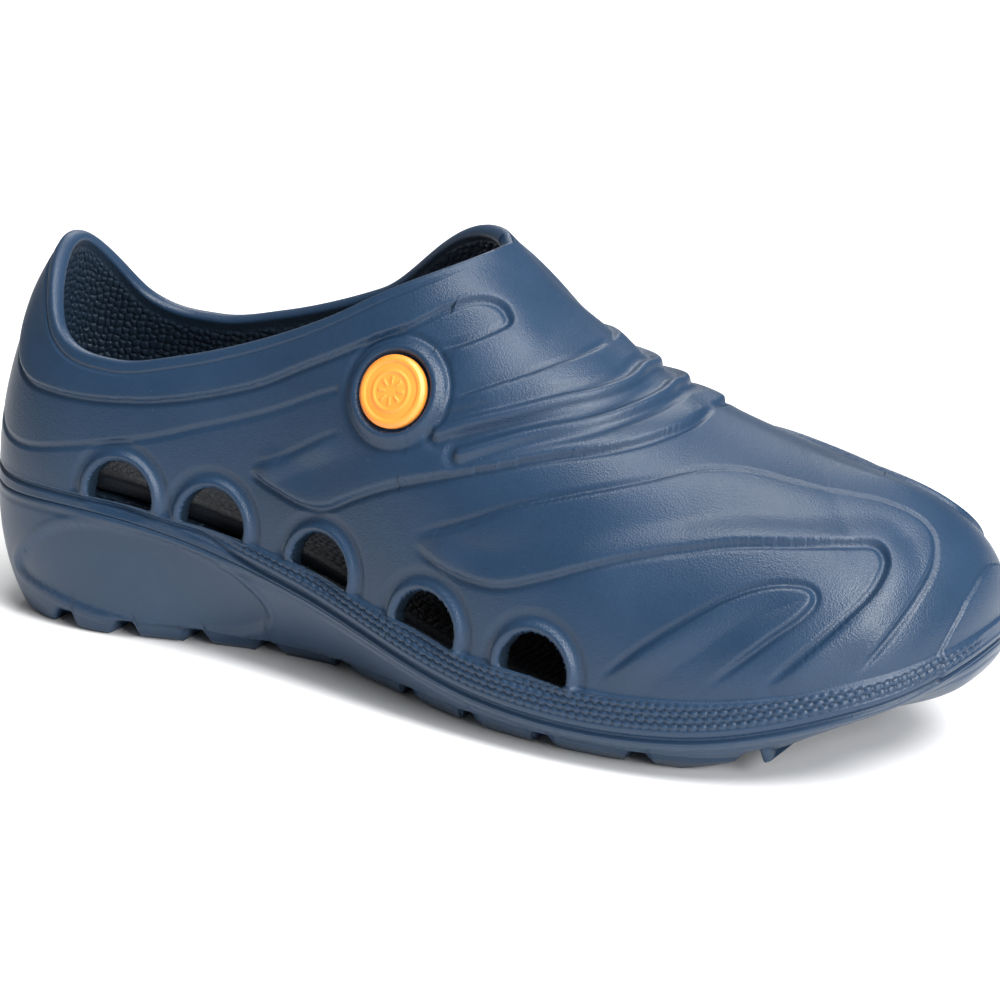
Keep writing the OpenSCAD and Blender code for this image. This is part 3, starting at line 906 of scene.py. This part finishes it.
def tread_rows(ring):
    """Rows across the tread, with notches, a middle channel and a sipe in each lug."""
    rows = cross_rows(ring, TREAD_COLUMNS)
    w = W[:HALF + 1, None]
    across = np.linspace(0, 1, TREAD_COLUMNS + 1)[None, :]
    channel = CHANNEL_DEPTH * bump((across - 0.5) / 0.07)
    sipe = 0 * rows[..., 0]
    for p, q in zip(NOTCH_X[:-1], NOTCH_X[1:]):
        sipe = np.maximum(sipe, SIPE_DEPTH * bump((rows[..., 0] - (p + q) / 2 * half_l) / 0.9))
    sipe = sipe * smooth(0.1, 0.16, across) * smooth(0.9, 0.84, across)
    cut = np.maximum(np.maximum(notch_height(rows[..., 0], w), channel), sipe)
    wanted = np.maximum(0, spline(GROUND_Z, w)) + cut * (1 - smooth(0.93, 0.99, w))
    inner = smooth(0.0, 0.03, across) * smooth(1.0, 0.97, across)
    rows[..., 2] = rows[..., 2] * (1 - inner) + wanted * inner
    return rows


def build_sole():
    end = side_end(sole_side(U, 0 * U + 1))
    t = end[:, None] * np.linspace(0, 1, SIDE_ROWS + 1)
    stations = np.repeat(U[:, None], SIDE_ROWS + 1, 1)
    side = sole_side(stations, t)
    e = 1e-3
    n = unit(np.cross(sole_side(stations + e, t) - sole_side(stations - e, t),
                      sole_side(stations, np.maximum(t - e, 0))
                      - sole_side(stations, np.minimum(t + e, 1))))
    side = side + n * side_relief(side)[..., None]
    shape = Shape()
    shape.skin(shape.add(side), wrap=True)
    shape.skin(shape.add(tread_rows(side[:, -1])), flip=True)
    shape.skin(shape.add(cross_rows(side[:, 0], 16, spline(SEAM_SAG, W[:HALF + 1]))))
    return shape.mesh("sole")


# ---- the footbed ----

FOOTBED_COLUMNS = 110
FOOTBED_PEBBLE = 2.4
FOOTBED_GRAIN = 0.55


def build_footbed():
    r = WALL_T + SKIN_INSET + FOOTBED_GAP
    low = floor_z(U) + REST_GAP
    shape = Shape()
    # underside, rounded edge, then a pebbled top with a plain raised border
    profile = [(0.6, 0.0), (0.2, 0.25), (0.0, 0.8), (0.0, FOOTBED_T - 1.2), (0.25, FOOTBED_T - 0.5),
               (0.8, FOOTBED_T - 0.05)]
    rings = [inset(U, r + dx, low + dz) for dx, dz in profile]
    shape.skin(shape.add(np.stack(rings, 1)), wrap=True)
    top = cross_rows(rings[-1], FOOTBED_COLUMNS)
    across = np.linspace(0, 1, FOOTBED_COLUMNS + 1)[None, :]
    width = np.linalg.norm(top[:, -1] - top[:, 0], axis=-1)[:, None]
    middle = top[:, FOOTBED_COLUMNS // 2][:, None]
    ends = np.minimum(arc_length(middle, 0), arc_length(middle[::-1], 0)[::-1])
    edge = np.minimum(np.minimum(across, 1 - across) * width, ends)
    stones = FOOTBED_GRAIN * pebbles(top[..., 0], top[..., 1], FOOTBED_PEBBLE, 3.0)
    top[..., 2] += 0.5 * bump((edge - 1.8) / 1.8) + smooth(3.0, 4.5, edge) * (stones - 0.5)
    shape.skin(shape.add(top))
    shape.skin(shape.add(cross_rows(rings[0], 12)), flip=True)
    return shape.mesh("footbed_liner")


# ---- snap buttons ----

def lathe(name, profile, turns=144, ripple=None):
    """A turned piece round Z from (radius, height) points in millimetres."""
    p = np.array(profile, float)
    a = np.linspace(0, 2 * PI, turns, endpoint=False)[:, None]
    r, z = p[None, :, 0] + 0 * a, p[None, :, 1] + 0 * a
    if ripple is not None:
        z = z + ripple(r, a)
    pts = np.stack([r * np.cos(a), r * np.sin(a) - centre_y, z], -1)
    shape = Shape()
    shape.skin(shape.add(pts), wrap=True)
    return shape.mesh(name)


def rounded(points, radius=0.3, steps=4):
    """Rounds the inner corners of a profile."""
    p = [np.array(q, float) for q in points]
    out = [p[0]]
    for a, b, c in zip(p[:-2], p[1:-1], p[2:]):
        ra = min(radius, np.linalg.norm(a - b) * 0.45, np.linalg.norm(c - b) * 0.45)
        start, end = b + unit(a - b) * ra, b + unit(c - b) * ra
        for t in np.linspace(0, 1, steps + 1):
            out.append((1 - t)**2 * start + 2 * (1 - t) * t * b + t**2 * end)
    return out + [p[-1]]


def cap_mark(r, a):
    """A plain ring of eight short rays, raised on the cap's face."""
    ring = 0.28 * bump((r - 5.2) / 0.8)
    spoke = np.abs((a * 8 / (2 * PI)) % 1.0 - 0.5) * 2
    rays = 0.22 * smooth(0.62, 0.8, spoke) * smooth(1.6, 2.0, r) * smooth(4.0, 3.6, r)
    return ring + rays


def build_cap(s, name):
    """The stem with its snap bead, then the cap's rim and its slightly domed face."""
    seat = BOSS_PROUD - RECESS_DEPTH + SNAP_FIT
    top = seat + CAP_T
    rim = CAP_D / 2
    grip = WALL_T + PAD_PROUD + SOCKET_T + 2 * SNAP_FIT
    side = rounded([(0.01, -grip - 1.2), (STEM_R - 0.6, -grip - 1.2), (STEM_R + 0.6, -grip - 0.5),
                    (STEM_R, -grip), (STEM_R, seat), (rim - 0.3, seat), (rim, seat + 0.3),
                    (rim, top - 0.8), (rim - 0.9, top - 0.1)], 0.35)
    face = [(r, top - 0.1 + 0.4 * (1 - (r / rim) ** 2) - 0.35 * smooth(rim - 1.6, rim - 2.4, r))
            for r in np.linspace(rim - 0.95, 0.01, 60)]

    def mark(r, a):
        on_face = np.arange(r.shape[1]) >= len(side)
        return np.where(on_face[None, :], cap_mark(r, a), 0)

    return stand(lathe(name, side + face, ripple=mark), s)


def build_socket(s, name):
    """The washer inside the clog, with a lip towards the stem."""
    back = -WALL_T - PAD_PROUD - SNAP_FIT
    foot, lip = back - SOCKET_T, back - SOCKET_T + 0.3
    ring = rounded([(BORE_R, back), (SOCKET_R - 0.4, back), (SOCKET_R, back - 0.4),
                    (SOCKET_R, foot + 0.4), (SOCKET_R - 0.6, foot), (BORE_R + 1.05, foot),
                    (BORE_R + 0.65, lip), (BORE_R, lip), (BORE_R, back)], 0.25)
    return stand(lathe(name, ring), s)


def stand(ob, s):
    """Turns a lathed piece onto its button's axis."""
    centre, axis = BUTTONS[s]
    spin = Vector((0, 0, 1)).rotation_difference(axis).to_matrix().to_4x4()
    place = Matrix.Translation((centre + Vector((0, centre_y, 0))) * MM)
    ob.data.transform(place @ spin)
    return ob


# ---- materials ----

def material(name):
    """A new material, its node tree, its shader, and object coordinates."""
    m = bpy.data.materials.new(name)
    m.use_nodes = True
    nodes, links = m.node_tree.nodes, m.node_tree.links
    shader = nodes["Principled BSDF"]
    where = nodes.new("ShaderNodeTexCoord").outputs["Object"]
    return m, nodes, links, shader, where


def texture(nodes, links, where, kind, scale, **inputs):
    t = nodes.new("ShaderNodeTex" + kind)
    links.new(where, t.inputs["Vector"])
    t.inputs["Scale"].default_value = scale
    for k, v in inputs.items():
        t.inputs[k.replace("_", " ")].default_value = v
    return t


def ramp(nodes, links, fac, stops):
    r = nodes.new("ShaderNodeValToRGB")
    links.new(fac, r.inputs["Fac"])
    while len(r.color_ramp.elements) < len(stops):
        r.color_ramp.elements.new(0.5)
    for e, (pos, col) in zip(r.color_ramp.elements, stops):
        e.position = pos
        e.color = (*col, 1.0) if len(col) == 3 else col
    return r.outputs["Color"]


def mix_colour(nodes, links, fac, a, b, blend="MIX"):
    m = nodes.new("ShaderNodeMix")
    m.data_type = "RGBA"
    m.blend_type = blend
    for sock, v in ((m.inputs["Factor"], fac), (m.inputs["A"], a), (m.inputs["B"], b)):
        if hasattr(v, "links"):
            links.new(v, sock)
        elif isinstance(v, (int, float)):
            sock.default_value = v
        else:
            sock.default_value = (*v, 1.0)
    return m.outputs["Result"]


def add_bump(nodes, links, shader, layers):
    """Stacks bump layers: (height, strength, distance in metres)."""
    previous = None
    for height, strength, depth in layers:
        b = nodes.new("ShaderNodeBump")
        b.inputs["Strength"].default_value = strength
        b.inputs["Distance"].default_value = depth
        links.new(height, b.inputs["Height"])
        if previous is not None:
            links.new(previous, b.inputs["Normal"])
        previous = b.outputs["Normal"]
    links.new(previous, shader.inputs["Normal"])


DUST = (0.35, 0.42, 0.5)
FOAM_SPECULAR = 0.36


def foam(name, deep, light, rough, grain, speck=0.5):
    """Moulded foam: mottled colour, fine leather-like grain, faint dusty specks."""
    m, nodes, links, shader, where = material(name)
    broad = texture(nodes, links, where, "Noise", 28, Detail=6.0, Roughness=0.6)
    fine = texture(nodes, links, where, "Noise", 900, Detail=4.0, Roughness=0.65)
    cells = texture(nodes, links, where, "Voronoi", 2000)
    dots = texture(nodes, links, where, "Voronoi", 260)
    tint = ramp(nodes, links, broad.outputs["Fac"], [(0.3, deep), (0.7, light)])
    tint = mix_colour(nodes, links, 0.35, tint, ramp(
        nodes, links, fine.outputs["Fac"], [(0.3, deep), (0.75, light)]))
    spot = ramp(nodes, links, dots.outputs["Distance"], [(0.0, (speck,) * 3), (0.035, (0, 0, 0))])
    tint = mix_colour(nodes, links, spot, tint, DUST)
    links.new(tint, shader.inputs["Base Color"])
    links.new(ramp(nodes, links, broad.outputs["Fac"], [(0.3, (rough - 0.05,) * 3),
                                                        (0.7, (rough + 0.07,) * 3)]),
              shader.inputs["Roughness"])
    add_bump(nodes, links, shader, [(cells.outputs["Distance"], grain, 0.00035),
                                    (fine.outputs["Fac"], 0.8 * grain, 0.0002)])
    shader.inputs["Specular IOR Level"].default_value = FOAM_SPECULAR
    return m


def cap_plastic():
    m, nodes, links, shader, where = material("cap_orange")
    broad = texture(nodes, links, where, "Noise", 90, Detail=4.0)
    fine = texture(nodes, links, where, "Noise", 2200, Detail=3.0)
    links.new(ramp(nodes, links, broad.outputs["Fac"], [(0.3, (0.80, 0.25, 0.030)),
                                                        (0.75, (0.92, 0.31, 0.05))]),
              shader.inputs["Base Color"])
    links.new(ramp(nodes, links, fine.outputs["Fac"], [(0.3, (0.33,) * 3), (0.7, (0.45,) * 3)]),
              shader.inputs["Roughness"])
    add_bump(nodes, links, shader, [(fine.outputs["Fac"], 0.12, 0.0001)])
    return m


def floor_paint():
    m, nodes, links, shader, where = material("studio_floor")
    n = texture(nodes, links, where, "Noise", 3, Detail=5.0)
    links.new(ramp(nodes, links, n.outputs["Fac"], [(0.3, (0.88, 0.88, 0.88)),
                                                    (0.7, (0.91, 0.91, 0.91))]),
              shader.inputs["Base Color"])
    shader.inputs["Roughness"].default_value = 0.7
    return m


def finish_piece(ob, body, nodes, slot, *materials):
    """Gives a piece its materials and its body, and hides the CAD nodes that it stands for."""
    for m in materials:
        ob.data.materials.append(m)
    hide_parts(*nodes)
    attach(ob, body)


UPPER_FOAM = foam("upper_navy", (0.0085, 0.026, 0.057), (0.014, 0.037, 0.078), 0.38, 0.20)
SOLE_FOAM = foam("sole_navy", (0.012, 0.031, 0.064), (0.020, 0.044, 0.084), 0.37, 0.10)
# The lining is a darker navy than the upper's outside: painted shade inside the clog.
LINING_FOAM_PAINTED_SHADE = foam("lining_navy_painted_shade", (0.007, 0.016, 0.030), (0.011, 0.024, 0.042), 0.46, 0.3, 0.1)
# The footbed is darkened nearly to black: painted shade of the deep foot well.
FOOTBED_FOAM_PAINTED_SHADE = foam("footbed_navy_painted_shade", (0.003, 0.005, 0.010), (0.005, 0.009, 0.016), 0.6, 0.3, 0.05)
CAP_ORANGE = cap_plastic()

finish_piece(build_upper(), "clog", ["upper_shell"], "upper_foam", UPPER_FOAM, LINING_FOAM_PAINTED_SHADE)
finish_piece(build_sole(), "clog", ["sole_unit"], "sole_foam", SOLE_FOAM)
liner = build_footbed()
finish_piece(liner, "footbed", ["footbed"], "footbed_foam", FOOTBED_FOAM_PAINTED_SHADE)
for s, word in ((-1, "lateral"), (1, "medial")):
    body = word + "_button"
    finish_piece(build_cap(s, word + "_cap"), body, [word + "_button_cap"], "button_cap", CAP_ORANGE)
    finish_piece(build_socket(s, word + "_socket"), body, [word + "_button_socket"],
                 "button_socket", CAP_ORANGE)


# ---- floor, light and camera ----

def floor():
    me = bpy.data.meshes.new("studio_floor")
    r = 6.0
    me.from_pydata([(-r, -r, 0), (r, -r, 0), (r, r, 0), (-r, r, 0)], [], [(0, 1, 2, 3)])
    ob = bpy.data.objects.new("studio_floor", me)
    bpy.context.scene.collection.objects.link(ob)
    me.materials.append(floor_paint())


def area_light(name, where, at, size, power):
    data = bpy.data.lights.new(name, "AREA")
    data.shape = "DISK"
    data.size = size
    data.energy = power
    ob = bpy.data.objects.new(name, data)
    ob.location = where
    ob.rotation_euler = (Vector(at) - Vector(where)).to_track_quat("-Z", "Y").to_euler()
    bpy.context.scene.collection.objects.link(ob)


def world_light(level):
    world = bpy.data.worlds.new("studio")
    world.use_nodes = True
    world.node_tree.nodes["Background"].inputs["Color"].default_value = (1, 1, 1, 1)
    world.node_tree.nodes["Background"].inputs["Strength"].default_value = level
    bpy.context.scene.world = world


CAMERA = {"azimuth": 25.36, "elevation": 17.55, "roll": 2.25, "distance": 1.105,
          "target": (0.0048, centre_y * MM - 0.0013, 0.0480), "lens": 147.5}


def camera():
    data = bpy.data.cameras.new("photo_view")
    data.sensor_width = 36.0
    data.lens = CAMERA["lens"]
    data.clip_end = 50
    ob = bpy.data.objects.new("photo_view", data)
    a, e, r = (math.radians(CAMERA[k]) for k in ("azimuth", "elevation", "roll"))
    back = Vector((math.sin(a) * math.cos(e), -math.cos(a) * math.cos(e), math.sin(e)))
    right = Vector((math.cos(a), math.sin(a), 0))
    up = back.cross(right)
    right, up = (right * math.cos(r) + up * math.sin(r), up * math.cos(r) - right * math.sin(r))
    turn = Matrix((right, up, back)).transposed().to_4x4()
    ob.matrix_world = Matrix.Translation(Vector(CAMERA["target"]) + back * CAMERA["distance"]) @ turn
    bpy.context.scene.collection.objects.link(ob)
    bpy.context.scene.camera = ob


bpy.context.scene.view_settings.view_transform = "Standard"
floor()
world_light(0.24)
area_light("key", (1.1, -0.35, 1.4), (0.03, 0, 0.05), 0.7, 30)
area_light("top", (0.1, -0.1, 1.5), (0.02, 0, 0.05), 0.8, 18)
area_light("toe_fill", (1.5, -0.8, 0.7), (0.08, 0, 0.04), 0.9, 30)
area_light("back", (-0.5, 1.2, 1.1), (0, 0, 0.05), 0.9, 9)
camera()
